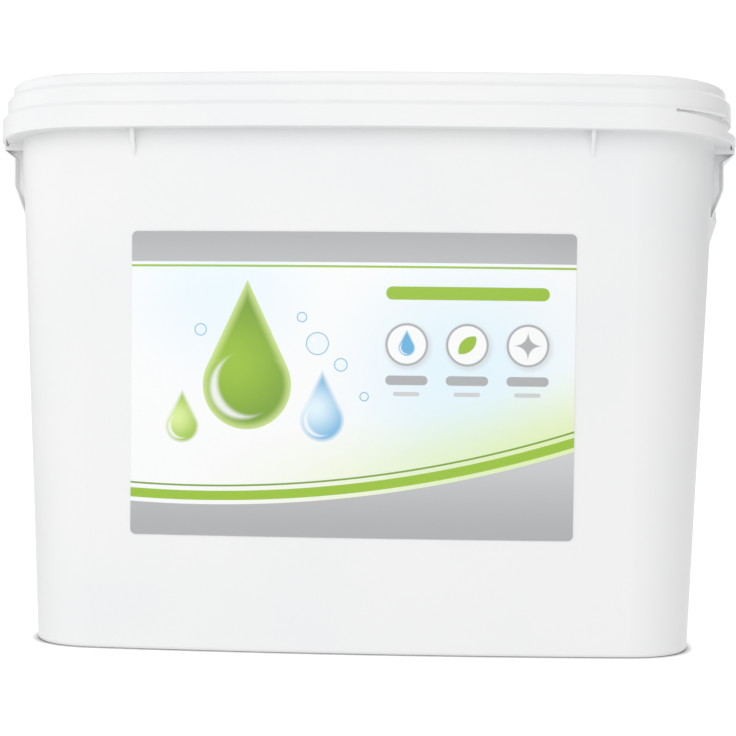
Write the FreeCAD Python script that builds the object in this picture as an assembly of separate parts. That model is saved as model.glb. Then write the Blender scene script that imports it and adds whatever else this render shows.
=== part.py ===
import FreeCAD, Part
import math
import os
from FreeCAD import Placement, Rotation, Vector

# Rectangular ten-litre plastic bucket for washing powder, with a press-down lid, a bail
# handle folded down behind it, a front label, two bags of powder and a dosing scoop.
# Millimetres. Z is up, X runs along the long sides and the front faces -Y. The origin
# is the middle of the area that the bucket stands on.

# ---- footprint: the lower edge of the lid's skirt, seen from above ----
LID_LENGTH = 300.0         # between the middles of the short sides
LID_WIDTH = 200.0          # between the middles of the long sides
CORNER_R = 45.8            # corner radius of the skirt
LONG_BOW = 4.35            # a long side bulges this far beyond the ends of its arc
SHORT_BOW = 1.85           # a short side bulges this far

# ---- bucket: one moulding ----
BODY_HEIGHT = 219.7        # from the ground to the top of the rim
RIM_INSET = 7.0            # wall's outer face at the rim, inside the skirt's outline
DRAFT_DEG = 2.8            # lean of every wall
WALL_T = 1.4
FLOOR_T = 1.6
FOOT_HEIGHT = 2.0          # the floor is raised this far inside the foot ring
FOOT_WIDTH = 4.0
FOOT_R = 1.6               # rounding of the lower edge
FLOOR_R = 3.0              # rounding between the floor and the walls, inside
RIM_BEAD_HEIGHT = 2.0
COLLAR_DROP = 18.0         # from the top of the rim to the top of the collar
COLLAR_T = 1.5
RIB_X = 87.5               # gusset ribs under the collar, front and back
RIB_T = 1.4
RIB_LENGTH = 11.4          # how far the ribs reach down from the collar

# ---- lid: one moulding ----
LID_PLAY = 0.4             # all round, between the lid and the bucket
LID_SEAT_GAP = 0.3         # between the rim and the lid's band, and under the skirt
BAND_T = 1.5               # flat band over the rim
SKIRT_T = 1.4
SKIRT_DEPTH = 21.8         # from the top of the lid to the skirt's lower edge
SKIRT_EDGE_R = 0.45
TOP_TIER_INSET = 4.0       # the skirt widens downwards in three tiers
TOP_TIER_HEIGHT = 4.0
MID_TIER_INSET = 1.9
MID_TIER_HEIGHT = 5.8
SHOULDER_HEIGHT = 1.8
SHOULDER_R = 0.8
TOP_EDGE_R = 1.3
PLUG_DEPTH = 11.0          # sealing wall that reaches down inside the rim
PLUG_T = 1.3
PANEL_T = 1.5
RECESS_DEPTH = 5.5         # the next bucket in a stack stands in this recess
STACK_PLAY = 1.0

# ---- lever groove in the skirt, round the right-hand side ----
GROOVE_X = 119.0           # both ends of the groove, each a small round pit
GROOVE_PIT_R = 0.75
GROOVE_END_HEIGHT = 0.9    # from the lower tier's shoulder down
GROOVE_HEIGHT = 3.4        # where the deep part begins
GROOVE_DEPTH = 1.7
GROOVE_BEND_Y = 92.0       # the groove widens from here to the deep part
PRY_HALF = 77.0            # half the length of the deep part, which takes a lever
PRY_HEIGHT = 5.2
PRY_DEPTH = 3.0
PRY_SLOPE = 5.0            # the shoulder above it fades out over this length
GROOVE_LIP = 0.9           # the wall behind the groove laps the skirt by this much

# ---- bail brackets: a hollow apron on each short side ----
BRACKET_WIDTH = 110.0
BRACKET_TOP_T = 1.7
BRACKET_FLARE = 3.3        # height of the slope between top plate and apron
BRACKET_DEPTH = 16.4       # from the skirt's edge down to the apron's lower edge
BRACKET_FOOT = 15.0        # the bracket tapers to the wall over this height
APRON_INSET = 4.3          # apron's outer face, inside the skirt's outline
APRON_T = 1.5
BRACKET_RIB_T = 1.6
BRACKET_RIB_Y = 19.0       # ribs on both sides of the pivot
MOUTH_LENGTH = 3.6         # the end ribs stand this far inside the bracket's ends
MOUTH_FLARE_DEG = 15.0     # the apron thins towards both ends
MOUTH_REACH = 9.0          # the flare reaches this far in from the apron's face
POCKET_FLOOR_T = 4.0       # in the mouths the foot is closed up to this height

# ---- bail handle: one moulding ----
PIVOT_DROP = 13.7          # from the skirt's lower edge to the pivot
PIN_R = 4.0
PIN_PLAY = 0.06
PIN_HEAD_R = 4.9
PIN_HEAD_T = 1.3
BOSS_R = 9.0
BOSS_STAND = 0.8           # boss on the apron, round the pivot hole
HUB_R = 8.0
HUB_PLAY = 0.3
BAIL_SIDE_PLAY = 0.4       # between the skirt and the bail's arms
BAIL_T = 2.5
BAIL_W = 8.5
JOG_START = 6.5            # from the pivot to where the arm steps out past the skirt
JOG_LENGTH = 3.5
BAIL_REACH = 104.0         # from the pivot to the inside of the crossbar
BAIL_CORNER_R = 45.0       # inside radius of the bail's corners
GRIP_LENGTH = 96.0
GRIP_W = 16.0
GRIP_T = 4.0
GRIP_EDGE_R = 1.2
BAIL_REST_GAP = 0.5        # between the folded grip and the wall behind it

# ---- label: one printed film on the front wall ----
LABEL_LEFT = 62.1          # from the left end of the lid to the label
LABEL_RIGHT = 67.9         # from the right end of the lid to the label
LABEL_FOOT = 44.65         # from the ground to the label
LABEL_HEAD = 58.55         # from the top of the rim down to the label
LABEL_CORNER_R = 2.0
LABEL_T = 0.2
LABEL_GLUE_T = 0.1         # adhesive between the wall and the film

# ---- contents: two bags of powder and a scoop ----
BAG_HEIGHT = 149.0
BAG_GAP = 0.4              # round each bag
BAG_TOP_R = 15.0
BAG_BASE_R = 4.0
SCOOP_R = 24.0             # outside of the bowl's rim
SCOOP_BASE_R = 17.0
SCOOP_DEPTH = 27.0
SCOOP_T = 1.2
SCOOP_HANDLE_LENGTH = 78.0
SCOOP_HANDLE_W = 13.0
SCOOP_HANDLE_T = 2.0
SCOOP_X = 74.0
SCOOP_Y = 18.0
SCOOP_TURN_DEG = 196.0     # which way the handle points
SCOOP_GAP = 0.3

# ---- values that follow from the dimensions above ----
HALF_LENGTH = LID_LENGTH / 2
HALF_WIDTH = LID_WIDTH / 2
DRAFT = math.tan(math.radians(DRAFT_DEG))
FLOOR_Z = FOOT_HEIGHT + FLOOR_T
LID_UNDERSIDE_Z = BODY_HEIGHT + LID_SEAT_GAP
LID_TOP_Z = LID_UNDERSIDE_Z + BAND_T
SHOULDER_Z = LID_TOP_Z - TOP_TIER_HEIGHT - MID_TIER_HEIGHT - 2 * SHOULDER_HEIGHT
SKIRT_EDGE_Z = LID_TOP_Z - SKIRT_DEPTH
COLLAR_Z = BODY_HEIGHT - COLLAR_DROP - COLLAR_T
COLLAR_INSET = SKIRT_T + LID_PLAY
BRACKET_TOP_Z = SKIRT_EDGE_Z - LID_SEAT_GAP
APRON_TOP_Z = BRACKET_TOP_Z - BRACKET_TOP_T - BRACKET_FLARE
APRON_Z = SKIRT_EDGE_Z - BRACKET_DEPTH
PIVOT_Z = SKIRT_EDGE_Z - PIVOT_DROP
PIN_HOLE_R = PIN_R + PIN_PLAY
APRON_X = HALF_LENGTH - APRON_INSET
BOSS_X = APRON_X + BOSS_STAND
BOSS_BACK_X = APRON_X - APRON_T
HUB_X = BOSS_X + HUB_PLAY
ARM_X = HALF_LENGTH + BAIL_SIDE_PLAY
BAG_Z = FLOOR_Z + BAG_GAP
BAG_TOP_Z = BAG_Z + BAG_HEIGHT


def wall_out(z):
    """Offset of the wall's outer face from the skirt's outline at height z."""
    return -RIM_INSET - (BODY_HEIGHT - z) * DRAFT


def wall_in(z):
    """Offset of the wall's inner face at height z."""
    return wall_out(z) - WALL_T


def wall_mid(z):
    """Offset of the middle of the wall, where what is moulded on to it takes root."""
    return wall_out(z) - WALL_T / 2


# ---- outline: four shallow arcs joined by four corner arcs ----
def side_radius(half_side, bow):
    """Radius of a side that falls back by bow where its corner arc begins."""
    chord = half_side - CORNER_R
    return (chord ** 2 + bow ** 2) / (2 * bow)


LONG_R = side_radius(HALF_LENGTH, LONG_BOW)
SHORT_R = side_radius(HALF_WIDTH, SHORT_BOW)
LONG_CENTRE = Vector(0, HALF_WIDTH - LONG_R, 0)
SHORT_CENTRE = Vector(HALF_LENGTH - SHORT_R, 0, 0)


def corner_centre():
    """Centre of the corner arc that touches both side arcs from inside."""
    reach_long = LONG_R - CORNER_R
    reach_short = SHORT_R - CORNER_R
    across = SHORT_CENTRE - LONG_CENTRE
    along = (reach_long ** 2 - reach_short ** 2 + across.Length ** 2) / (2 * across.Length)
    aside = math.sqrt(reach_long ** 2 - along ** 2)
    direction = Vector(across).normalize()
    normal = Vector(direction.y, -direction.x, 0)
    return LONG_CENTRE + direction * along + normal * aside


CORNER_CENTRE = corner_centre()
LONG_HALF_ANGLE = math.degrees(math.atan2(CORNER_CENTRE.x, CORNER_CENTRE.y - LONG_CENTRE.y))
SHORT_HALF_ANGLE = math.degrees(math.atan2(CORNER_CENTRE.y, CORNER_CENTRE.x - SHORT_CENTRE.x))


def outline_arcs():
    """The eight arcs, anticlockwise: centre, radius, start angle and end angle."""
    arcs = []
    for turn in (0, 180):
        side = -1 if turn else 1
        x, y = CORNER_CENTRE.x * side, CORNER_CENTRE.y * side
        arcs += [
            (Vector(0, -LONG_CENTRE.y * side, 0), LONG_R,
             turn - 90 - LONG_HALF_ANGLE, turn - 90 + LONG_HALF_ANGLE),
            (Vector(x, -y, 0), CORNER_R, turn - 90 + LONG_HALF_ANGLE, turn - SHORT_HALF_ANGLE),
            (SHORT_CENTRE * side, SHORT_R, turn - SHORT_HALF_ANGLE, turn + SHORT_HALF_ANGLE),
            (Vector(x, y, 0), CORNER_R, turn + SHORT_HALF_ANGLE, turn + 90 - LONG_HALF_ANGLE),
        ]
    return arcs


UP = Vector(0, 0, 1)


def outline(offset, z):
    """The skirt's outline, moved out by offset, as a wire at height z."""
    return Part.Wire([Part.makeCircle(radius + offset, centre + UP * z, UP, start, end)
                      for centre, radius, start, end in outline_arcs()])


def rounded(levels, radii):
    """Edges of a profile through (offset, z) levels, with arcs at the corners in radii."""
    points = [Vector(offset, 0, z) for offset, z in levels]
    edges = []
    last = points[0]
    for index in range(1, len(points) - 1):
        corner = points[index]
        radius = radii.get(index, 0)
        if radius:
            back = (points[index - 1] - corner).normalize()
            ahead = (points[index + 1] - corner).normalize()
            half_turn = back.getAngle(ahead) / 2
            reach = radius / math.tan(half_turn)
            start, end = corner + back * reach, corner + ahead * reach
            inward = (back + ahead).normalize()
            middle = corner + inward * (radius / math.sin(half_turn) - radius)
            edges += [Part.makeLine(last, start), Part.Arc(start, middle, end).toShape()]
            last = end
        else:
            edges.append(Part.makeLine(last, corner))
            last = corner
    return edges + [Part.makeLine(last, points[-1])]


def stack(levels, radii=None):
    """Solid whose side follows (offset, z) levels from the bottom to the top."""
    faces = [Part.Face(outline(*levels[0])), Part.Face(outline(*levels[-1]))]
    for edge in rounded(levels, radii or {}):
        for centre, radius, start, end in outline_arcs():
            side = edge.copy()
            side.translate(Vector(radius, 0, 0))
            side.rotate(Vector(0, 0, 0), UP, start)
            side.translate(centre)
            faces.append(side.revolve(centre, UP, end - start))
    solid = Part.Solid(Part.Shell(faces))
    return solid if solid.Volume > 0 else solid.reversed()


def block(x0, x1, y0, y1, z0, z1):
    return Part.makeBox(x1 - x0, y1 - y0, z1 - z0, Vector(x0, y0, z0))


def rod(radius, x0, x1):
    """Cylinder along X through the pivot."""
    return Part.makeCylinder(radius, x1 - x0, Vector(x0, 0, PIVOT_Z), Vector(1, 0, 0))


def mirror_x(shape):
    return shape.mirror(Vector(0, 0, 0), Vector(1, 0, 0))


# ---- bucket ----
def bucket_shell():
    """Drafted outer form with a rounded foot, before it is hollowed."""
    return stack([
        (wall_out(0) - 2 * FOOT_R, 0),
        (wall_out(0), 0),
        (wall_out(BODY_HEIGHT), BODY_HEIGHT),
    ], {1: FOOT_R})


def bucket_hollow():
    """Inside of the bucket, rounded where the walls meet the floor."""
    above = BODY_HEIGHT + 5
    return stack([
        (wall_in(FLOOR_Z) - 2 * FLOOR_R, FLOOR_Z),
        (wall_in(FLOOR_Z), FLOOR_Z),
        (wall_in(above), above),
    ], {1: FLOOR_R})


def rim_bead():
    bead_z = BODY_HEIGHT - RIM_BEAD_HEIGHT
    reach = -(TOP_TIER_INSET + COLLAR_INSET)
    low_z = bead_z - RIM_BEAD_HEIGHT
    return stack([(wall_mid(low_z), low_z), (reach, bead_z), (reach, BODY_HEIGHT)])


def collar():
    return stack([(-COLLAR_INSET, COLLAR_Z), (-COLLAR_INSET, COLLAR_Z + COLLAR_T)])


def collar_ribs():
    """Gusset ribs that widen from the wall up to the collar's edge."""
    foot_z = COLLAR_Z - RIB_LENGTH
    flare = stack([(wall_mid(foot_z), foot_z), (-COLLAR_INSET, COLLAR_Z + COLLAR_T / 2)])
    ribs = []
    for x in (-RIB_X, RIB_X):
        plate = block(x - RIB_T / 2, x + RIB_T / 2, -LID_WIDTH, LID_WIDTH, foot_z,
                      COLLAR_Z + COLLAR_T / 2)
        ribs.append(flare.common(plate))
    return ribs


def bracket_form():
    """Outer form of a bail bracket up to the collar, as a band all round the bucket."""
    foot_z = APRON_Z - BRACKET_FOOT
    plate_z = BRACKET_TOP_Z - BRACKET_TOP_T
    return stack([
        (wall_mid(foot_z), foot_z),
        (-APRON_INSET, APRON_Z),
        (-APRON_INSET, APRON_TOP_Z),
        (0, plate_z),
        (0, BRACKET_TOP_Z),
        (-COLLAR_INSET, BRACKET_TOP_Z),
        (-COLLAR_INSET, COLLAR_Z + COLLAR_T / 2),
    ])


def bracket_hollow():
    """Space behind the apron between the ribs, open below."""
    ceiling_z = BRACKET_TOP_Z - BRACKET_TOP_T
    inset = APRON_INSET + APRON_T
    behind = stack([(-inset, APRON_Z), (-inset, APRON_TOP_Z), (-APRON_T, ceiling_z)])
    below = stack([(1, APRON_Z - BRACKET_FOOT - 1), (1, APRON_Z)])
    return behind.fuse(below)


def bracket_pocket():
    """Space in front of an end rib, closed below by the sloping foot."""
    ceiling_z = BRACKET_TOP_Z - BRACKET_TOP_T
    floor_z = APRON_Z - BRACKET_FOOT + POCKET_FLOOR_T
    inset = APRON_INSET + APRON_T
    return stack([
        (wall_mid(floor_z), floor_z),
        (-inset, APRON_Z),
        (-inset, APRON_TOP_Z),
        (-APRON_T, ceiling_z),
    ])


def pocket_mouth(side):
    """Pocket at the front end (side -1) or the back end (side 1), flared outwards."""
    end = BRACKET_WIDTH / 2
    span = sorted((side * (end - MOUTH_LENGTH), side * (end + 1)))
    foot_z = APRON_Z - BRACKET_FOOT
    pocket = bracket_pocket()
    flared = pocket.copy()
    flared.rotate(Vector(APRON_X - APRON_T, side * (end - MOUTH_LENGTH), 0), UP,
                  -side * MOUTH_FLARE_DEG)
    straight = block(0, LID_LENGTH, *span, foot_z, BRACKET_TOP_Z)
    outer = block(APRON_X - MOUTH_REACH, LID_LENGTH, *span, foot_z, BRACKET_TOP_Z)
    return pocket.common(straight).fuse(flared.common(outer))


def bail_bracket():
    """Right-hand bracket: top plate, apron, four ribs, two mouths and the pivot boss."""
    half = BRACKET_WIDTH / 2
    foot_z = APRON_Z - BRACKET_FOOT
    reach = block(0, LID_LENGTH, -half, half, foot_z, BODY_HEIGHT)
    bracket = bracket_form().common(reach)
    hollow = bracket_hollow()
    end_rib = half - MOUTH_LENGTH - BRACKET_RIB_T / 2
    ribs = (-end_rib, -BRACKET_RIB_Y, BRACKET_RIB_Y, end_rib)
    for start, end in zip(ribs, ribs[1:]):
        bay = block(-1, LID_LENGTH, start + BRACKET_RIB_T / 2, end - BRACKET_RIB_T / 2,
                    foot_z - 1, BRACKET_TOP_Z)
        bracket = bracket.cut(hollow.common(bay))
    bracket = bracket.cut([pocket_mouth(-1), pocket_mouth(1)])
    bracket = bracket.fuse(rod(BOSS_R, BOSS_BACK_X, BOSS_X))
    return bracket.cut(rod(PIN_HOLE_R, 0, HALF_LENGTH))


def bucket_body():
    body = bucket_shell()
    right = bail_bracket()
    additions = [rim_bead(), collar(), right, mirror_x(right)] + collar_ribs()
    body = body.fuse(additions)
    body = body.cut(bucket_hollow())
    inside_foot = wall_out(0) - FOOT_WIDTH
    underside = stack([(inside_foot, -1), (inside_foot, FOOT_HEIGHT)])
    return body.cut(underside)


# ---- lid ----
def tier_levels(thickness, bottom_z, top_z):
    """Skirt's face from its lower edge up, moved in by thickness."""
    top_tier_z = LID_TOP_Z - TOP_TIER_HEIGHT
    return [
        (-thickness, bottom_z),
        (-thickness, SHOULDER_Z),
        (-MID_TIER_INSET - thickness, SHOULDER_Z + SHOULDER_HEIGHT),
        (-MID_TIER_INSET - thickness, top_tier_z - SHOULDER_HEIGHT),
        (-TOP_TIER_INSET - thickness, top_tier_z),
        (-TOP_TIER_INSET - thickness, top_z),
    ]


def lid_plug():
    """Sealing wall that follows the inside of the rim."""
    low_z = LID_UNDERSIDE_Z - PLUG_DEPTH
    outer = stack([(wall_in(low_z) - LID_PLAY, low_z),
                   (wall_in(LID_UNDERSIDE_Z) - LID_PLAY, LID_UNDERSIDE_Z)])
    inner = stack([(wall_in(low_z) - LID_PLAY - PLUG_T, low_z),
                   (wall_in(LID_UNDERSIDE_Z) - LID_PLAY - PLUG_T, LID_UNDERSIDE_Z)])
    return outer.cut(inner)


def lid_recess(shrink, bottom_z, top_z):
    """Stacking recess, sized to the foot of the next bucket."""
    foot = wall_out(0) + STACK_PLAY + shrink
    return stack([(foot, bottom_z), (foot + (top_z - bottom_z) * DRAFT, top_z)])


def groove_cut(half, inset):
    """Cut as deep as inset, from (y, z) corners and their mirror images."""
    corners = half + [(-y, z) for y, z in reversed(half)]
    points = [Vector(GROOVE_X, y, z) for y, z in corners]
    prism = Part.Face(Part.makePolygon(points + points[:1])).extrude(Vector(HALF_LENGTH, 0, 0))
    return prism.cut(stack([(-inset, SKIRT_EDGE_Z), (-inset, LID_TOP_Z)]))


def lever_groove():
    """Groove under the lower shoulder, deep along the side for a lever."""
    end_low = SHOULDER_Z - GROOVE_END_HEIGHT
    shallow = groove_cut([
        (HALF_WIDTH, SHOULDER_Z), (HALF_WIDTH, end_low), (GROOVE_BEND_Y, end_low),
        (PRY_HALF, SHOULDER_Z - GROOVE_HEIGHT),
    ], GROOVE_DEPTH)
    deep = groove_cut([(PRY_HALF, SHOULDER_Z), (PRY_HALF, SHOULDER_Z - PRY_HEIGHT)], PRY_DEPTH)
    shoulder = groove_cut([
        (PRY_HALF - PRY_SLOPE, SHOULDER_Z + SHOULDER_HEIGHT), (PRY_HALF, SHOULDER_Z),
    ], MID_TIER_INSET)
    pits = []
    for y in (-HALF_WIDTH, HALF_WIDTH):
        pit = Part.makeCylinder(GROOVE_PIT_R, HALF_WIDTH, Vector(GROOVE_X, 0, 0), Vector(0, y, 0))
        pit.translate(Vector(0, 0, SHOULDER_Z - GROOVE_END_HEIGHT / 2))
        pits.append(pit.cut(stack([(-GROOVE_DEPTH, SKIRT_EDGE_Z), (-GROOVE_DEPTH, LID_TOP_Z)])))
    return shallow.fuse([deep, shoulder] + pits)


def groove_backing(form):
    """Part of the lid's outer form that backs the groove."""
    low_z = SHOULDER_Z - PRY_HEIGHT - GROOVE_LIP
    high_z = SHOULDER_Z + GROOVE_LIP
    inset = PRY_DEPTH + SKIRT_T
    pad = form.common(block(GROOVE_X - GROOVE_PIT_R - GROOVE_LIP, LID_LENGTH,
                            -LID_WIDTH, LID_WIDTH, low_z, high_z))
    return pad.cut(stack([(-inset, low_z - 1), (-inset, high_z + 1)]))


def lid():
    outside = tier_levels(0, SKIRT_EDGE_Z, LID_TOP_Z)
    outside.insert(0, (-SKIRT_T, SKIRT_EDGE_Z))
    outside.append((-TOP_TIER_INSET - 2 * TOP_EDGE_R, LID_TOP_Z))
    shoulders = {index: SHOULDER_R for index in (2, 3, 4, 5)}
    solid = stack(outside, {1: SKIRT_EDGE_R, 6: TOP_EDGE_R, **shoulders})
    below = stack(tier_levels(SKIRT_T, SKIRT_EDGE_Z - 5, LID_UNDERSIDE_Z))
    panel_z = LID_TOP_Z - RECESS_DEPTH
    drum = lid_recess(PANEL_T, panel_z - PANEL_T, LID_UNDERSIDE_Z)
    backing = groove_backing(solid)
    solid = solid.cut(below)
    solid = solid.fuse([lid_plug(), drum, backing])
    solid = solid.cut(lid_recess(0, panel_z, LID_TOP_Z + 5))
    return solid.cut(lever_groove())


# ---- bail handle ----
def bail_fold_deg():
    """How far the folded bail points below the level, leaning on the rear wall."""
    lean = math.radians(DRAFT_DEG)
    wall_away = (HALF_WIDTH + wall_out(PIVOT_Z)) * math.cos(lean)
    half_grip = GRIP_W / 2
    reach = math.hypot(BAIL_REACH, half_grip)
    edge = math.atan2(half_grip, BAIL_REACH)
    return math.degrees(math.acos((wall_away + BAIL_REST_GAP) / reach) - edge + lean)


def bail_strap():
    """U-shaped strap that points along +Y from the pivot, with a step near each hub."""
    turn_x = ARM_X - BAIL_CORNER_R
    turn_y = BAIL_REACH - BAIL_CORNER_R
    slant = math.sqrt(0.5)
    jog_turn = math.atan2(ARM_X - HUB_X, JOG_LENGTH)

    def half_u(grow):
        radius = BAIL_CORNER_R + grow
        arc = Part.Arc(Vector(turn_x + radius, turn_y, 0),
                       Vector(turn_x + radius * slant, turn_y + radius * slant, 0),
                       Vector(turn_x, turn_y + radius, 0)).toShape()
        jog_y = JOG_START - grow * math.tan(jog_turn / 2)
        arm = [Vector(HUB_X + grow, 0, 0), Vector(HUB_X + grow, jog_y, 0),
               Vector(ARM_X + grow, jog_y + JOG_LENGTH, 0), Vector(ARM_X + grow, turn_y, 0)]
        runs = [Part.makeLine(start, end) for start, end in zip(arm, arm[1:])]
        top = Part.makeLine(Vector(turn_x, turn_y + radius, 0), Vector(0, turn_y + radius, 0))
        return runs + [arc, top]

    inner = half_u(0)
    outer = half_u(BAIL_T)
    foot = Part.makeLine(Vector(HUB_X, 0, 0), Vector(HUB_X + BAIL_T, 0, 0))
    middle = Part.makeLine(Vector(0, BAIL_REACH, 0), Vector(0, BAIL_REACH + BAIL_T, 0))
    face = Part.Face(Part.Wire(Part.__sortEdges__(inner + outer + [foot, middle])))
    right = face.extrude(Vector(0, 0, BAIL_W))
    right.translate(Vector(0, 0, PIVOT_Z - BAIL_W / 2))
    return right.fuse(mirror_x(right))


def bail_grip():
    grip = block(-GRIP_LENGTH / 2, GRIP_LENGTH / 2, BAIL_REACH, BAIL_REACH + GRIP_T,
                 PIVOT_Z - GRIP_W / 2, PIVOT_Z + GRIP_W / 2)
    return grip.makeFillet(GRIP_EDGE_R, grip.Edges)


def bail_end():
    """Right-hand hub, pin and snap head, in the bracket's pivot hole."""
    hub = rod(HUB_R, HUB_X, HUB_X + BAIL_T)
    head_x = BOSS_BACK_X - HUB_PLAY
    pin = rod(PIN_R, head_x - PIN_HEAD_T, HUB_X)
    head = rod(PIN_HEAD_R, head_x - PIN_HEAD_T, head_x)
    return hub.fuse([pin, head])


def bail_handle():
    end = bail_end()
    bail = bail_strap().fuse([bail_grip(), end, mirror_x(end)]).removeSplitter()
    bail.rotate(Vector(0, 0, PIVOT_Z), Vector(1, 0, 0), -bail_fold_deg())
    return bail


# ---- label ----
def front_label():
    """Thin film that follows the bowed and leaning front wall."""
    low = LABEL_FOOT / 2
    high = BODY_HEIGHT - LABEL_HEAD / 2
    back = LABEL_GLUE_T
    face = back + LABEL_T
    film = stack([(wall_out(low) + face, low), (wall_out(high) + face, high)])
    film = film.cut(stack([(wall_out(low) + back, low), (wall_out(high) + back, high)]))
    cutter = block(LABEL_LEFT - HALF_LENGTH, HALF_LENGTH - LABEL_RIGHT, -LID_WIDTH, 0,
                   LABEL_FOOT, BODY_HEIGHT - LABEL_HEAD)
    upright = [edge for edge in cutter.Edges if edge.BoundBox.YLength > HALF_WIDTH]
    cutter = cutter.makeFillet(LABEL_CORNER_R, upright)
    return film.common(cutter)


# ---- contents ----
def powder_bag():
    """Right-hand bag: it fills half of the bucket's inside, with rounded shoulders."""
    base_z = BAG_Z + BAG_BASE_R
    side = wall_in(base_z) - BAG_GAP
    top_side = wall_in(BAG_TOP_Z) - BAG_GAP
    form = stack([(side - BAG_BASE_R, BAG_Z), (side, base_z), (top_side, BAG_TOP_Z)])
    half_width = HALF_WIDTH + top_side
    pillow = block(BAG_GAP, HALF_LENGTH + top_side, -half_width, half_width,
                   BAG_Z - BAG_TOP_R, BAG_TOP_Z)
    rounded = [edge for edge in pillow.Edges
               if edge.BoundBox.ZMin > BAG_TOP_Z - 1 or edge.BoundBox.XMax < BAG_GAP + 1
               and edge.BoundBox.ZLength > BAG_HEIGHT]
    return form.common(pillow.makeFillet(BAG_TOP_R, rounded))


def dosing_scoop():
    """Round bowl with a flat handle level with its rim, lying on a bag."""
    profile = [
        Vector(0, 0, 0), Vector(SCOOP_BASE_R, 0, 0), Vector(SCOOP_R, 0, SCOOP_DEPTH),
        Vector(SCOOP_R - SCOOP_T, 0, SCOOP_DEPTH), Vector(SCOOP_BASE_R - SCOOP_T, 0, SCOOP_T),
        Vector(0, 0, SCOOP_T),
    ]
    bowl = Part.Face(Part.makePolygon(profile + profile[:1])).revolve(
        Vector(0, 0, 0), Vector(0, 0, 1), 360)
    grip_z = SCOOP_DEPTH - SCOOP_HANDLE_T
    grip = block(SCOOP_R - SCOOP_T, SCOOP_R + SCOOP_HANDLE_LENGTH,
                 -SCOOP_HANDLE_W / 2, SCOOP_HANDLE_W / 2, grip_z, SCOOP_DEPTH)
    ends = [edge for edge in grip.Edges
            if edge.BoundBox.ZLength > SCOOP_HANDLE_T / 2 and edge.BoundBox.XMin > SCOOP_R]
    grip = grip.makeFillet(SCOOP_HANDLE_W / 2.2, ends)
    rib = block(SCOOP_R - SCOOP_T * 2, SCOOP_R + SCOOP_HANDLE_LENGTH * 0.8,
                -SCOOP_T / 2, SCOOP_T / 2, grip_z - SCOOP_HANDLE_T, SCOOP_DEPTH)
    bore = Part.makeCone(SCOOP_BASE_R - SCOOP_T, SCOOP_R - SCOOP_T, SCOOP_DEPTH - SCOOP_T,
                         Vector(0, 0, SCOOP_T))
    scoop = bowl.fuse([grip, rib]).cut(bore)
    scoop.rotate(Vector(0, 0, 0), Vector(0, 0, 1), SCOOP_TURN_DEG)
    scoop.translate(Vector(SCOOP_X, SCOOP_Y, BAG_TOP_Z + SCOOP_GAP))
    return scoop


# ---- write one file for each piece ----
def write(name, shape):
    solids = shape.Solids
    clean = solids[0] if len(solids) == 1 else Part.makeCompound(solids)
    clean.exportStep("parts/" + name + ".step")
    box = clean.BoundBox
    print("%-16s solids %d valid %s volume %.1f cm3  x %.1f..%.1f  y %.1f..%.1f  z %.1f..%.1f" % (
        name, len(solids), clean.isValid(), clean.Volume / 1000,
        box.XMin, box.XMax, box.YMin, box.YMax, box.ZMin, box.ZMax))


os.makedirs("parts", exist_ok=True)
bag = powder_bag()
write("bucket_body", bucket_body())
write("lid", lid())
write("bail_handle", bail_handle())
write("front_label", front_label())
write("powder_bag_right", bag)
write("powder_bag_left", mirror_x(bag))
write("dosing_scoop", dosing_scoop())
print("bail folds %.2f degrees below the level; pivot z %.2f" % (bail_fold_deg(), PIVOT_Z))
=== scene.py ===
# %% [markdown]
# # A ten-litre bucket for washing powder
#
# The bucket, its lid, its bail handle and its scoop come as finished solids, at their
# real size and in their real places. This lesson gives them their looks: it sets up a
# small studio, mixes the plastics, prints the label and sews up the two powder bags.
# Everything is in metres, with Z up and the labelled front facing -Y.

# %% Load the bucket
import math

import bmesh
import bpy
from mathutils import Matrix, Vector, noise
from mathutils.bvhtree import BVHTree


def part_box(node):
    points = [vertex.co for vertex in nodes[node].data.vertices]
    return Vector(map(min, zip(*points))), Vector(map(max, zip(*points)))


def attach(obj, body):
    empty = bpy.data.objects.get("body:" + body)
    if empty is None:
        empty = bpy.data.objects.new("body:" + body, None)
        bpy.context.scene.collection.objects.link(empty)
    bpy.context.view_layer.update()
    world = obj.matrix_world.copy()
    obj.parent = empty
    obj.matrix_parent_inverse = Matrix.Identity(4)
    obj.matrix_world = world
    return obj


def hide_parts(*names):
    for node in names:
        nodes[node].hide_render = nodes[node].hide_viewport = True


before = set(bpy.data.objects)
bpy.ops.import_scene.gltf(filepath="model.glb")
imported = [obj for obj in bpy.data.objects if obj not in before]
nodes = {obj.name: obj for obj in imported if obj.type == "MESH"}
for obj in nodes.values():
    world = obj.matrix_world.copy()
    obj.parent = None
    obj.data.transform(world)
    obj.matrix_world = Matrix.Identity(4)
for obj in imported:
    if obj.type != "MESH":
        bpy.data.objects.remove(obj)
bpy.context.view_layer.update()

MM = 0.001

# %% [markdown]
# ## The camera
#
# A pack is shown from low down, straight at its front, so that it looks tall and full. A
# wide lens would bend the corners, so a portrait lens stands half a metre off, a little
# right of the middle and well below the lid, and it leans by less than a degree. The
# turns are kept as angles, because a tripod head is set that way.

# %% Set up the camera
CAMERA_PLACE = Vector((26.889, -635.635, 96.554)) * MM
CAMERA_TURN = 0.042736
CAMERA_RISE = 0.023760
CAMERA_LEAN = 0.012853
LENS_MM = 70.528
SENSOR_MM = 36.0

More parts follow.
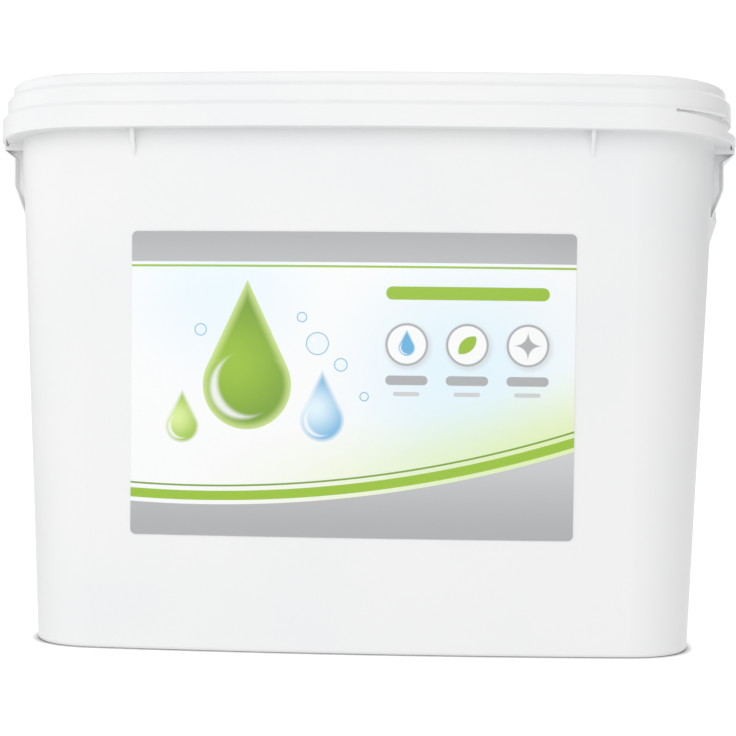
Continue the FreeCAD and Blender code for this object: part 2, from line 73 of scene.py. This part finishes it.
camera = bpy.data.objects.new("camera", bpy.data.cameras.new("camera"))
bpy.context.scene.collection.objects.link(camera)
camera.matrix_world = (Matrix.Translation(CAMERA_PLACE)
                       @ Matrix.Rotation(CAMERA_TURN, 4, "Z")
                       @ Matrix.Rotation(math.pi / 2 + CAMERA_RISE, 4, "X")
                       @ Matrix.Rotation(CAMERA_LEAN, 4, "Z"))
camera.data.lens = LENS_MM
camera.data.sensor_width = SENSOR_MM
bpy.context.scene.camera = camera

# %% [markdown]
# ## Shader maths as formulas
#
# Blender's materials are node trees, and a tree of sums drawn by hand is hard to read.
# This class wraps one output of a tree and overloads + - and *, so that a formula such as
# `1 - mask` adds its own Math nodes. Colours don't go through Math nodes, which would turn
# them grey: they are laid over each other with a Mix node. Every other kind of node comes
# from the one method `node`.

# %% The class that wraps an output
class Shade:
    """One output of a node tree. With no output it stands for the tree itself."""

    def __init__(self, tree, output=None):
        self.tree = tree
        self.output = output

    def node(self, kind, settings=None, sockets=None, output=0):
        """Adds a node: its settings first, then the values or links of its sockets."""
        made = self.tree.nodes.new(kind)
        for name, value in (settings or {}).items():
            setattr(made, name, value)
        for name, value in (sockets or {}).items():
            if isinstance(value, Shade):
                self.tree.links.new(value.output, made.inputs[name])
            else:
                made.inputs[name].default_value = value
        return Shade(self.tree, made.outputs[output])

    def math(self, operation, *values):
        """Adds a Math node for numbers."""
        return self.node("ShaderNodeMath", {"operation": operation}, dict(enumerate(values)))

    def __add__(self, other):
        return self.math("ADD", self, other)

    def __sub__(self, other):
        return self.math("SUBTRACT", self, other)

    def __rsub__(self, other):
        return self.math("SUBTRACT", other, self)

    def __mul__(self, other):
        return self.math("MULTIPLY", self, other)

    def __neg__(self):
        return self * -1

    __radd__ = __add__
    __rmul__ = __mul__


MIX_MASK, MIX_GROUND, MIX_INK = 0, 6, 7
MIX_RESULT = 2


def over(mask, ink, ground):
    """Colour ink laid over colour ground where mask is 1."""
    ink = (*ink, 1) if isinstance(ink, tuple) else ink
    ground = (*ground, 1) if isinstance(ground, tuple) else ground
    return mask.node("ShaderNodeMix", {"data_type": "RGBA"},
                     {MIX_MASK: mask, MIX_GROUND: ground, MIX_INK: ink}, MIX_RESULT)


def fade(value, start, end):
    """0 where value is at start, 1 where it is at end, and smooth between them."""
    return value.node("ShaderNodeMapRange", {"interpolation_type": "SMOOTHSTEP"},
                      {"Value": value, "From Min": start, "From Max": end})


print("formulas ready")

# %% [markdown]
# ## A material to start from
#
# Every finish here is a Principled shader whose colour, roughness and bump come from
# formulas. This helper makes the material and hands back the tree, the place of a point
# on the object in millimetres, and the shader. Object coordinates are used because they
# stay with the piece when it moves, and because the moulded pieces have no UV map.

# %% Start a material
def finish(name, **constants):
    """A new material: its tree, the point in millimetres, and its Principled shader."""
    material = bpy.data.materials.new(name)
    material.use_nodes = True
    tree = Shade(material.node_tree)
    shader = material.node_tree.nodes["Principled BSDF"]
    for socket, value in constants.items():
        shader.inputs[socket.replace("_", " ")].default_value = value
    point = tree.node("ShaderNodeTexCoord", output="Object")
    point = tree.node("ShaderNodeVectorMath", {"operation": "SCALE"}, {0: point, "Scale": 1 / MM})
    return material, tree, point, shader


def feed(tree, shader, **links):
    """Links formulas into the shader's sockets."""
    for socket, value in links.items():
        tree.tree.links.new(value.output, shader.inputs[socket.replace("_", " ")])


def grain(point, size, detail=2.0):
    """Soft noise from 0 to 1 whose spots are about size millimetres across."""
    return point.node("ShaderNodeTexNoise", None,
                      {"Vector": point, "Scale": 1 / size, "Detail": detail}, "Fac")


def relief(height, depth):
    """Normals of a surface with bumps of that depth in millimetres."""
    return height.node("ShaderNodeBump", None, {"Height": height, "Distance": depth * MM})


def paint(piece, material):
    """Gives every face of a piece one material."""
    piece.data.materials.clear()
    piece.data.materials.append(material)


print("helpers for finishes ready")

# %% [markdown]
# ## The plastic
#
# Bucket, lid and bail are injection-moulded polypropylene, coloured right through with
# white. The steel of the mould is spark-eroded, which leaves a very fine satin grain, and
# the melt freezes with a slow orange peel over a few millimetres. Real plastic is never
# one even white: it is a touch cooler where it is thin and warmer where it is thick, so
# the colour drifts a little. Handling polishes it in streaks, which the roughness shows.

# %% White polypropylene
PP_WHITE = (0.880, 0.882, 0.884)
PP_COOL = (0.855, 0.862, 0.870)
PEEL_MM = 5.0
GRAIN_MM = 0.35
SKIN_DEPTH_MM = 0.05
DRIFT_MM = 70.0
STREAK_MM = 9.0
STREAK_STRETCH = (1.0, 1.0, 0.12)
CLOUD_MM = 30.0
MOULDED = (("bucket_body", "bucket_white", 0.42),
           ("lid", "lid_white", 0.40),
           ("bail_handle", "bail_white", 0.46))


def moulded_plastic(name, satin):
    """Satin injection-moulded plastic with orange peel, fine grain and slow drift."""
    material, tree, point, shader = finish(name, IOR=1.49, Specular_IOR_Level=0.5)
    colour = over(fade(grain(point, DRIFT_MM), 0.3, 0.7), PP_WHITE, PP_COOL)
    streaks = tree.node("ShaderNodeVectorMath", {"operation": "MULTIPLY"},
                        {0: point, 1: STREAK_STRETCH})
    rough = (satin + 0.08 * (grain(streaks, STREAK_MM) - 0.5)
             + 0.05 * (grain(point, CLOUD_MM) - 0.5))
    skin = 0.75 * grain(point, PEEL_MM, 1.0) + 0.25 * grain(point, GRAIN_MM, 1.0)
    feed(tree, shader, Base_Color=colour, Roughness=rough, Normal=relief(skin, SKIN_DEPTH_MM))
    return material


for node, name, satin in MOULDED:
    paint(nodes[node], moulded_plastic(name, satin))
print("%d moulded pieces painted" % len(MOULDED))

# %% [markdown]
# ## The label
#
# The label is a film that is printed flat and then stuck on, so its print is laid out on
# a plane: millimetres to the right and millimetres up from its lower left corner. Each
# shape is a distance, below zero inside the shape, and `printed` turns a distance into a
# mask with a crisp edge. The design is colour fields and simple shapes: silver bands, a
# lime sweep, droplets, bubbles and three round marks.

# %% Shapes to print with
label_low, label_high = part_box("front_label")
LABEL_WIDTH = (label_high.x - label_low.x) / MM
LABEL_HEIGHT = (label_high.z - label_low.z) / MM
INK_EDGE = 0.12


def printed(distance):
    """Mask of a shape: 1 where its distance is below zero, with a crisp edge."""
    return fade(distance, INK_EDGE, -INK_EDGE)


def disc(spot, x, y, radius):
    """Round shape with its middle at x, y."""
    away = spot.node("ShaderNodeVectorMath", {"operation": "DISTANCE"},
                     {0: spot, 1: (x, y, 0)}, "Value")
    return away - radius


def line(height, middle, width):
    """Line of that width along height = middle."""
    return height.math("ABSOLUTE", height - middle) - width / 2


def ring(spot, x, y, radius, width):
    """Line of that width round a circle."""
    return line(disc(spot, x, y, radius), 0, width)


def bar(spot, x, y, width, height, radius):
    """Bar with rounded ends, round its middle at x, y."""
    step = spot.node("ShaderNodeVectorMath", {"operation": "SUBTRACT"}, {0: spot, 1: (x, y, 0)})
    step = step.node("ShaderNodeVectorMath", {"operation": "ABSOLUTE"}, {0: step})
    core = (width / 2 - radius, height / 2 - radius, 0)
    step = step.node("ShaderNodeVectorMath", {"operation": "SUBTRACT"}, {0: step, 1: core})
    step = step.node("ShaderNodeVectorMath", {"operation": "MAXIMUM"}, {0: step, 1: (0, 0, 0)})
    return step.node("ShaderNodeVectorMath", {"operation": "LENGTH"}, {0: step}, "Value") - radius


def droplet(spot, u, v, x, y, radius, tip):
    """Round drop with a point that reaches tip above its middle."""
    lean = math.asin(radius / tip)
    across = u.math("ABSOLUTE", u - x)
    flank = across * math.cos(lean) + (v - (y + tip)) * math.sin(lean)
    cone = flank.math("MAXIMUM", flank, y + radius * math.sin(lean) - v)
    return cone.math("MINIMUM", cone, disc(spot, x, y, radius))


def leaf(spot, x, y, radius, half_width):
    """Leaf between two circles, pointing up to the right."""
    shift = (radius - half_width) * math.sqrt(0.5)
    left = disc(spot, x - shift, y + shift, radius)
    return left.math("MAXIMUM", left, disc(spot, x + shift, y - shift, radius))


def sparkle(u, v, x, y, reach):
    """Four-pointed star."""
    across = u.math("SQRT", u.math("ABSOLUTE", u - x))
    up = v.math("SQRT", v.math("ABSOLUTE", v - y))
    return across + up - math.sqrt(reach)


print("label %.1f x %.1f mm" % (LABEL_WIDTH, LABEL_HEIGHT))

# %% [markdown]
# ## Printing it
#
# Inks go down in order, each over the one before: a pale blue glow on the white film, a
# lime haze and two lime lines that follow one large arc, the silver field below that arc,
# the drops, each with a darker foot, a pale rim and a window of light, the three round
# marks with a blank bar under each, and last the silver band that closes the top.

# %% Print the label
SILVER = (0.412, 0.418, 0.427)
MID_SILVER = (0.470, 0.478, 0.488)
LIGHT_SILVER = (0.600, 0.610, 0.620)
LIME = (0.300, 0.520, 0.012)
PALE_LIME = (0.700, 0.850, 0.320)
DEEP_LIME = (0.160, 0.330, 0.004)
SKY = (0.740, 0.890, 0.960)
BLUE = (0.120, 0.430, 0.720)
FILM_WHITE = (0.930, 0.935, 0.940)
SKY_GLOWS = ((128, 62, 62, 8, 0.9), (34, 96, 48, 4, 0.6))
SWEEP_X = 28.0
SWEEP_FOOT = 12.0
SWEEP_R = 470.0
SWEEP_LINES = ((3.4, 3.6, LIME), (7.2, 0.7, DEEP_LIME))
HAZE_HEIGHT = (34, 2)
HAZE_ACROSS = (10, 165)
FIELD_FADE = 40

label_print, tree, point, shader = finish("label_print", Coat_Weight=0.35, Coat_Roughness=0.12,
                                          IOR=1.5)
corner = (label_low.x / MM, 0, label_low.z / MM)
flat = tree.node("ShaderNodeVectorMath", {"operation": "SUBTRACT"}, {0: point, 1: corner})
u = tree.node("ShaderNodeSeparateXYZ", None, {0: flat}, "X")
v = tree.node("ShaderNodeSeparateXYZ", None, {0: flat}, "Z")
spot = tree.node("ShaderNodeCombineXYZ", None, {0: u, 1: v})

ink = FILM_WHITE
for x, y, start, end, strength in SKY_GLOWS:
    ink = over(strength * fade(disc(spot, x, y, 0), start, end), SKY, ink)
above = -disc(spot, SWEEP_X, SWEEP_FOOT + SWEEP_R, SWEEP_R)
haze = fade(above, *HAZE_HEIGHT) * fade(u, *HAZE_ACROSS)
ink = over(0.8 * haze, PALE_LIME, ink)
for height, width, colour in SWEEP_LINES:
    ink = over(printed(line(above, height, width)), colour, ink)
field = over(fade(v, 0, FIELD_FADE), LIGHT_SILVER, SILVER)
ink = over(printed(above), field, ink)
print("glow, sweep and silver field printed")

# %% Print the drops
DROPS = ((45, 58, 17, 40, LIME, DEEP_LIME, PALE_LIME),
         (74, 45, 8.5, 19, SKY, BLUE, FILM_WHITE),
         (20, 42, 6.5, 14, PALE_LIME, LIME, FILM_WHITE))
BUBBLES = ((72, 74, 4.2), (81, 66, 2.4), (66, 84, 1.8), (90, 54, 1.6), (27, 79, 2.2))
BUBBLE_RIM = 0.35


def drop(ground, x, y, radius, tip, body, foot, rim):
    """One drop of liquid: body colour, dark foot, pale rim and a window of light."""
    edge = droplet(spot, u, v, x, y, radius, tip)
    inner = over(fade(disc(spot, x - 0.3 * radius, y + 0.5 * radius, 0), 0, 1.7 * radius),
                 foot, body)
    inner = over(0.7 * fade(edge, -0.22 * radius, 0), rim, inner)
    light = disc(spot, x - 0.12 * radius, y - 0.05 * radius, 0.72 * radius)
    light = light.math("MAXIMUM", light, -disc(spot, x + 0.12 * radius, y + 0.08 * radius,
                                               0.78 * radius))
    inner = over(0.85 * fade(light, 0.06 * radius, -0.08 * radius), FILM_WHITE, inner)
    return over(printed(edge), inner, ground)


for figures in DROPS:
    ink = drop(ink, *figures)
for x, y, radius in BUBBLES:
    ink = over(0.35 * printed(disc(spot, x, y, radius)), SKY, ink)
    ink = over(printed(ring(spot, x, y, radius, BUBBLE_RIM)), BLUE, ink)
    ink = over(printed(disc(spot, x - 0.35 * radius, y + 0.35 * radius, 0.22 * radius)),
               FILM_WHITE, ink)
print("%d drops and %d bubbles printed" % (len(DROPS), len(BUBBLES)))

# %% Print the marks and the top band
MARK_Y = 74.0
MARK_X = (106.0, 129.0, 152.0)
MARK_R = 8.2
MARK_RIM = 0.9
NAME_BAR = (MARK_Y - 13.6, 16, 3.6, 1.7)
NOTE_BAR = (MARK_Y - 18.8, 10, 1.6, 0.7)
LEAF = (5.6, 2.5)
STAR_REACH = 6.0
TITLE_BAR = (129, 93.5, 62, 5.0, 2.4)
BAND_FOOT = 105.0
BAND_TOP = 117.0

for x in MARK_X:
    ink = over(0.35 * fade(disc(spot, x + 0.6, MARK_Y - 0.8, MARK_R), 2.0, -1.0), SILVER, ink)
    ink = over(printed(disc(spot, x, MARK_Y, MARK_R)), FILM_WHITE, ink)
    ink = over(printed(ring(spot, x, MARK_Y, MARK_R - 0.5, MARK_RIM)), SILVER, ink)
    ink = over(printed(bar(spot, x, *NAME_BAR)), SILVER, ink)
    ink = over(printed(bar(spot, x, *NOTE_BAR)), LIGHT_SILVER, ink)
ink = drop(ink, MARK_X[0], MARK_Y - 1.2, 3.2, 7.0, BLUE, BLUE, SKY)
ink = over(printed(leaf(spot, MARK_X[1], MARK_Y, *LEAF)), LIME, ink)
ink = over(printed(sparkle(u, v, MARK_X[2], MARK_Y, STAR_REACH)), SILVER, ink)

ink = over(printed(bar(spot, *TITLE_BAR)), LIME, ink)
band = BAND_FOOT - v
ink = over(printed(band), over(fade(v, BAND_FOOT, BAND_TOP), SILVER, MID_SILVER), ink)
ink = over(printed(line(band, 1.6, 0.8)), LIME, ink)

gloss = 0.24 + 0.08 * (grain(point, 14.0) - 0.5)
feed(tree, shader, Base_Color=ink, Roughness=gloss, Normal=relief(grain(point, 3.0, 1.0), 0.02))
paint(nodes["front_label"], label_print)
print("label printed with %d nodes" % len(label_print.node_tree.nodes))

# %% [markdown]
# ## The scoop
#
# The dosing scoop is moulded from polypropylene with no white in it, which looks like
# thin milk glass: light goes in, is scattered, and comes out blurred. Transmission with
# a rough surface gives that without the cost of true scattering.

# %% Natural polypropylene
MILK_BLUE = (0.80, 0.87, 0.90)
MILK_PALE = (0.86, 0.90, 0.92)
MILK_SPOT_MM = 18.0

scoop_milk, tree, point, shader = finish("scoop_milk", IOR=1.49, Transmission_Weight=0.45)
milk = over(fade(grain(point, MILK_SPOT_MM), 0.35, 0.65), MILK_BLUE, MILK_PALE)
feed(tree, shader, Base_Color=milk, Roughness=0.3 + 0.1 * (grain(point, 6.0) - 0.5),
     Normal=relief(grain(point, 2.0, 1.0), 0.02))
paint(nodes["dosing_scoop"], scoop_milk)
print("scoop painted")

# %% [markdown]
# ## The powder bags
#
# The powder comes in two film bags that are blown full, sealed and dropped into the
# bucket side by side, where they take the shape of their half. A block with round edges
# would look like soap. So each bag starts a little too small, is given an even skin of
# small squares, and is blown up by Blender's cloth solver: the skin stretches tight over
# the powder and the corners pull in. A point may move only a few millimetres, and it
# stays inside the room that the bucket leaves for the bag.

# %% Blow up a bag
SKIN_MM = 5.5
SLACK_MM = 4.0
SWELL_MM = 7.0
ROOM_MM = 0.3
BLOW_FRAMES = 20
BLOW_PRESSURE = 4.0
scene = bpy.context.scene


def show(name, mesh):
    """Puts a mesh or a light into the scene."""
    piece = bpy.data.objects.new(name, mesh)
    scene.collection.objects.link(piece)
    return piece


def settled(piece):
    """The piece's mesh with its modifiers worked in."""
    return bpy.data.meshes.new_from_object(
        piece.evaluated_get(bpy.context.evaluated_depsgraph_get()))


def worked(piece, kind, **settings):
    """Adds one modifier, works it into the mesh and takes it off again."""
    modifier = piece.modifiers.new(kind.lower(), kind)
    for name, value in settings.items():
        setattr(modifier, name, value)
    piece.data = settled(piece)
    piece.modifiers.clear()


def blow_up(piece):
    """Cloth under pressure, with no gravity; points move SWELL_MM at most."""
    before = [vertex.co.copy() for vertex in piece.data.vertices]
    cloth = piece.modifiers.new("skin", "CLOTH")
    cloth.settings.use_pressure = True
    cloth.settings.uniform_pressure_force = BLOW_PRESSURE
    cloth.settings.effector_weights.gravity = 0.0
    for step in range(1, BLOW_FRAMES + 1):
        scene.frame_set(step)
    piece.data = settled(piece)
    piece.modifiers.clear()
    scene.frame_set(1)
    for vertex, start in zip(piece.data.vertices, before):
        move = vertex.co - start
        if move.length > SWELL_MM * MM:
            vertex.co = start + move.normalized() * SWELL_MM * MM


def keep_inside(piece, room):
    """Brings every point that left the room back to ROOM_MM inside its walls."""
    for vertex in piece.data.vertices:
        wall, outward, _, _ = room.find_nearest(vertex.co)
        if (vertex.co - wall).dot(outward) > -ROOM_MM * MM:
            vertex.co = wall - outward * ROOM_MM * MM


print("a bag is blown up in %d steps" % BLOW_FRAMES)

# %% [markdown]
# ## Sags and creases
#
# Powder settles, so the top of a bag sinks towards its walls and along its end seal, and
# only the middle stays up and carries the scoop. Film doesn't stretch much: it gathers
# in creases that fan out from the ends of the seal. They are cut in by code after the
# solver has run, because its skin of squares is too coarse for them.

# %% Shape the tops
SEAL_Y = -46.0
SEAL_HALF = 52.0
TOP_BAND_MM = 26.0
RIM_START = 0.55
RIM_SINK_MM = 6.0
SEAL_SINK_MM = 7.5
SEAL_SPREAD_MM = 11
WAVE_SINK_MM = 2.2
WAVE_MM = 34
WAVE_LAYER = 40
FAN_REACH_MM = 34
FAN_FOLDS = 5.5
FAN_DEPTH_MM = 3.2
FOLD_MM = Vector((30, 16, 60))
FOLD_DEPTH_MM = 1.3


def crease(x, y, z):
    """Sharp-edged folds: 0 on the folds and up to 1 between them."""
    return abs(noise.noise(Vector((x, y, z)))) ** 0.6


def sag(piece, room_low, room_high, middle_x):
    """Lets the top sink at its rim and along the seal, and gathers the film in creases."""
    top = room_high.z / MM
    half_x = (room_high.x - room_low.x) / 2 / MM
    half_y = (room_high.y - room_low.y) / 2 / MM
    normals = [vertex.normal.copy() for vertex in piece.data.vertices]
    for vertex, normal in zip(piece.data.vertices, normals):
        x, y, z = vertex.co / MM
        across, along = x - middle_x, y - SEAL_Y
        height = max(0.0, 1 - (top - z) / TOP_BAND_MM)
        rim = max(abs(across) / half_x, abs(y) / half_y)
        sink = RIM_SINK_MM * max(0.0, rim - RIM_START) / (1 - RIM_START)
        sink += SEAL_SINK_MM * math.exp(-(along / SEAL_SPREAD_MM) ** 2)
        sink += WAVE_SINK_MM * (noise.noise(Vector((x, y, WAVE_LAYER)) / WAVE_MM) + 0.4)
        end = SEAL_HALF if across > 0 else -SEAL_HALF
        spread = math.atan2(along, across - end)
        near = math.exp(-math.hypot(across - end, along) / FAN_REACH_MM)
        fan = crease(spread * FAN_FOLDS, middle_x, 0.02 * z)
        folds = 0.9 * crease(x / FOLD_MM.x, y / FOLD_MM.y, z / FOLD_MM.z)
        dent = FAN_DEPTH_MM * near * (1 - fan) + FOLD_DEPTH_MM * (1 - folds)
        vertex.co.z -= height * max(0.0, sink) * MM
        vertex.co -= normal * dent * MM


print("tops sink %.1f mm along the seal" % SEAL_SINK_MM)

# %% [markdown]
# ## The end seal
#
# The machine closes a bag by pressing its two films together between hot ribbed jaws.
# What is left is a flat fin a finger wide, ribbed across, that lies folded over on the
# bag. It is a thin strip laid on the finished top: each of its points is dropped on to
# the film below it, so it follows the sag, and its free edge curls up a little.

# %% Lay the seal on the bag
SEAL_WIDTH = 13.0
FILM_MM = 0.35
SEAL_CELLS = (72, 6)
SEAL_BOW_MM = 2.0
SEAL_GAP_MM = 0.3
SEAL_CURL_MM = 1.6
SEAL_FLUTTER_MM = 1.2
SMOOTH_ROUNDS = 4
DROP_FROM = 1.0


def end_seal(piece, middle_x):
    """Adds the folded fin to the bag's mesh."""
    skin = BVHTree.FromPolygons([vertex.co for vertex in piece.data.vertices],
                                [face.vertices for face in piece.data.polygons])
    strip = bmesh.new()
    bmesh.ops.create_grid(strip, x_segments=SEAL_CELLS[0], y_segments=SEAL_CELLS[1], size=0.5)
    for point in strip.verts:
        curl = (0.5 - point.co.y) ** 2
        bow = SEAL_BOW_MM * noise.noise(Vector((point.co.x * 3, middle_x, 7)))
        point.co.x = (middle_x + 2 * SEAL_HALF * point.co.x) * MM
        point.co.y = (SEAL_Y + SEAL_WIDTH * point.co.y + bow) * MM
        point.co.z = DROP_FROM
        under, _, _, _ = skin.ray_cast(point.co, Vector((0, 0, -1)))
        flutter = SEAL_FLUTTER_MM * noise.noise(point.co * 60)
        lift = FILM_MM + SEAL_GAP_MM + curl * (SEAL_CURL_MM + flutter)
        point.co.z = under.z + lift * MM
    for _ in range(SMOOTH_ROUNDS):
        bmesh.ops.smooth_vert(strip, verts=strip.verts, factor=0.5, use_axis_z=True)
    bmesh.ops.solidify(strip, geom=strip.faces[:], thickness=FILM_MM * MM)
    fin = bpy.data.meshes.new("end_seal")
    strip.to_mesh(fin)
    strip.free()
    both = bmesh.new()
    both.from_mesh(piece.data)
    both.from_mesh(fin)
    both.to_mesh(piece.data)
    both.free()


print("the seal is %.0f x %.0f mm" % (2 * SEAL_HALF, SEAL_WIDTH))

# %% Sew up both bags
def powder_pouch(side):
    """Soft bag in the room of the CAD bag on that side."""
    node = nodes["powder_bag_" + side]
    low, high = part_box("powder_bag_" + side)
    middle = (low + high) / 2
    room = BVHTree.FromPolygons([vertex.co for vertex in node.data.vertices],
                                [face.vertices for face in node.data.polygons])
    piece = show("powder_pouch_" + side, node.data.copy())
    for vertex in piece.data.vertices:
        for axis in range(3):
            share = 1 - 2 * SLACK_MM * MM / (high[axis] - low[axis])
            vertex.co[axis] = middle[axis] + (vertex.co[axis] - middle[axis]) * share
    worked(piece, "REMESH", mode="VOXEL", voxel_size=SKIN_MM * MM)
    blow_up(piece)
    keep_inside(piece, room)
    worked(piece, "SUBSURF", levels=1)
    sag(piece, low, high, middle.x / MM)
    keep_inside(piece, room)
    end_seal(piece, middle.x / MM)
    piece.data.shade_smooth()
    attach(piece, "bucket")
    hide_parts("powder_bag_" + side)
    print("%s: %d faces" % (piece.name, len(piece.data.polygons)))
    return piece


pouches = [powder_pouch("left"), powder_pouch("right")]

# %% [markdown]
# ## Film over powder
#
# The film is clear and the powder shows through it: white grains, with a few blue and
# green ones for freshness. Where the film bridges a hollow it turns milky, because
# there is air behind it. The jaws' ribs are a wave that is let through only on the seal.

# %% Powder under clear film
POWDER = (0.850, 0.870, 0.890)
MILKY = (0.780, 0.820, 0.850)
GRAIN_BLUE = (0.180, 0.430, 0.760)
GRAIN_GREEN = (0.380, 0.640, 0.300)
GRAINS_MM = 1.3
COLOURED_FROM = 0.970
BRIDGE_MM = 26.0
RIB_PITCH = 1.7
RIB_EDGE = 0.6
FILM_DEPTH_MM = 0.6

bag_film, tree, point, shader = finish("bag_film", Coat_Weight=0.8, Coat_Roughness=0.16,
                                       IOR=1.5)
cells = tree.node("ShaderNodeTexVoronoi", None, {"Vector": point, "Scale": 1 / GRAINS_MM}, "Color")
pick = tree.node("ShaderNodeSeparateColor", None, {"Color": cells}, "Red")
kind = tree.node("ShaderNodeSeparateColor", None, {"Color": cells}, "Green")
coloured = over(fade(kind, 0.45, 0.55), GRAIN_BLUE, GRAIN_GREEN)
powder = over(fade(pick, COLOURED_FROM, COLOURED_FROM + 0.01), coloured, POWDER)
bridge = fade(grain(point, BRIDGE_MM), 0.45, 0.70)
powder = over(0.75 * bridge, MILKY, powder)
fin_y = tree.node("ShaderNodeSeparateXYZ", None, {0: point}, "Y")
fin_x = tree.node("ShaderNodeSeparateXYZ", None, {0: point}, "X")
on_seal = fade(line(fin_y, SEAL_Y, SEAL_WIDTH), RIB_EDGE, -RIB_EDGE)
powder = over(0.8 * on_seal, MILKY, powder)
ribs = tree.math("SINE", fin_x * (2 * math.pi / RIB_PITCH)) * on_seal
film = 0.7 * grain(point, 7.0) + 0.3 * grain(point, GRAINS_MM) + 0.25 * ribs
feed(tree, shader, Base_Color=powder, Roughness=0.34 + 0.16 * (grain(point, 11.0) - 0.5),
     Normal=relief(film, FILM_DEPTH_MM))
for pouch in pouches:
    paint(pouch, bag_film)
print("bags filled with powder")

# %% [markdown]
# ## Floor and background
#
# A white pack on white is the hardest thing to light: the background has to be whiter
# than the pack, and the pack still has to show its corners. So the background lights
# nothing. It is a dome that only the camera sees, and a floor that looks white but throws
# no light back up. Where something stands close over the floor, its own glow fades out and its
# colour turns dark: a painted contact shadow.

# %% Floor and dome
FLOOR_R = 3.0
DOME_R = 6.0
CONTACT_MM = 7.0
# colour of the painted contact shadow on the floor
PAINTED_CONTACT_SHADOW = (0.20, 0.20, 0.21)
FLOOR_TONES = (0.80, 0.80, 0.80), (0.82, 0.82, 0.82)
FLOOR_SPOT_MM = 400.0
FLOOR_GLOW = 0.50
DOME_GLOW = 1.1
DOME_TONES = (0.0, 0.0, 0.0), (0.01, 0.01, 0.01)
DOME_SPOT_MM = 900.0
WHITE, BLACK = (1, 1, 1), (0, 0, 0)


def stage_piece(name, create, **sizes):
    """Part of the studio, made by one of bmesh's own shapes."""
    mesh = bpy.data.meshes.new(name)
    form = bmesh.new()
    create(form, **sizes)
    form.to_mesh(mesh)
    form.free()
    piece = show(name, mesh)
    return piece


floor = stage_piece("studio_floor", bmesh.ops.create_circle, cap_ends=True, segments=64,
                    radius=FLOOR_R)
floor_white, tree, point, shader = finish("floor_white", Roughness=0.9,
                                          Emission_Strength=FLOOR_GLOW)
open_air = tree.node("ShaderNodeAmbientOcclusion", {"samples": 8},
                     {"Distance": CONTACT_MM * MM}, "AO")
lit = over(grain(point, FLOOR_SPOT_MM), *FLOOR_TONES)
# painted contact shadow: where the occlusion is low, the floor's colour turns dark and its glow
# fades out
feed(tree, shader, Base_Color=over(fade(open_air, 0.30, 0.75), lit, PAINTED_CONTACT_SHADOW),
     Emission_Color=over(fade(open_air, 0.40, 0.90), WHITE, BLACK))
paint(floor, floor_white)
floor.visible_diffuse = False

dome = stage_piece("studio_dome", bmesh.ops.create_uvsphere, u_segments=48, v_segments=24,
                   radius=DOME_R)
dome_white, tree, point, shader = finish("dome_white", Roughness=1.0,
                                         Emission_Strength=DOME_GLOW,
                                         Emission_Color=(*WHITE, 1))
feed(tree, shader, Base_Color=over(grain(point, DOME_SPOT_MM), *DOME_TONES))
paint(dome, dome_white)
for ray in ("diffuse", "glossy", "transmission", "shadow"):
    setattr(dome, "visible_" + ray, False)
print("floor %.0f m and dome %.0f m across" % (2 * FLOOR_R, 2 * DOME_R))

# %% [markdown]
# ## A black card
#
# White against white loses its edge, so a studio stands a black card just out of view.
# This one stands low on the left and reaches back from the plane of the front wall, so
# the front never faces it: it darkens the turn of the corner, most near the floor.

# %% Stand the card
CARD_PLACE = Vector((-0.27, 0.05, 0.06))
CARD_WIDTH = 0.26
CARD_HEIGHT = 0.10
CARD_TONES = (0.02, 0.02, 0.02), (0.03, 0.03, 0.03)
CARD_SPOT_MM = 20.0

card = stage_piece("edge_card", bmesh.ops.create_grid, x_segments=1, y_segments=1, size=0.5)
for vertex in card.data.vertices:
    vertex.co = CARD_PLACE + Vector((0, CARD_WIDTH * vertex.co.x, CARD_HEIGHT * vertex.co.y))
card_black, tree, point, shader = finish("card_black", Roughness=0.9)
feed(tree, shader, Base_Color=over(grain(point, CARD_SPOT_MM), *CARD_TONES))
paint(card, card_black)
card.visible_camera = False
card.visible_glossy = False
print("card of %.0f x %.0f mm stands on the left" % (CARD_WIDTH / MM, CARD_HEIGHT / MM))

# %% [markdown]
# ## The light
#
# A real studio puts a white pack into a bright tent that is open on one side. Here the
# world is that tent. It glows evenly from the sides and the top and a little more from
# below. It is dark on the far right, which shades that corner, and a brighter strip on
# the far left draws a line of light down the other one. One softbox in front models the
# shape, and a weaker one behind keeps the back readable.

# %% The tent of light
TENT_TOP = (0.76, 0.76, 0.76)
TENT_SIDE = (0.76, 0.76, 0.76)
TENT_OPEN = (0.15, 0.15, 0.15)
TENT_STRIP = (1.5, 1.5, 1.5)
TENT_BELOW = (0.86, 0.86, 0.86)

world = bpy.data.worlds.new("tent")
scene.world = world
world.use_nodes = True
tent = Shade(world.node_tree)
way = tent.node("ShaderNodeTexCoord", output="Generated")
way_x = tent.node("ShaderNodeSeparateXYZ", None, {0: way}, "X")
way_z = tent.node("ShaderNodeSeparateXYZ", None, {0: way}, "Z")
glow = over(fade(way_x, 0.60, 0.92), TENT_OPEN, TENT_SIDE)
glow = over(fade(way_x, -0.75, -0.95), TENT_STRIP, glow)
glow = over(fade(way_z, 0.2, 0.95), TENT_TOP, glow)
glow = over(fade(way_z, 0.06, -0.06), TENT_BELOW, glow)
tent.tree.links.new(glow.output, world.node_tree.nodes["Background"].inputs["Color"])
scene.view_settings.view_transform = "Standard"
print("tent glows %.2f at the sides" % TENT_SIDE[0])

# %% Hang the softboxes
AIM = Vector((0, 0, 0.1))
SOFTBOXES = (("key_softbox", Vector((-0.3, -2.05, 0.95)), 1.8, 13.5),
             ("back_softbox", Vector((0.6, 1.9, 1.3)), 2.0, 8.0))

for name, place, width, watts in SOFTBOXES:
    softbox = show(name, bpy.data.lights.new(name, "AREA"))
    softbox.data.energy = watts
    softbox.data.size = width
    softbox.location = place
    softbox.rotation_mode = "QUATERNION"
    softbox.rotation_quaternion = (AIM - place).to_track_quat("-Z", "Y")
print("%d softboxes hung" % len(SOFTBOXES))
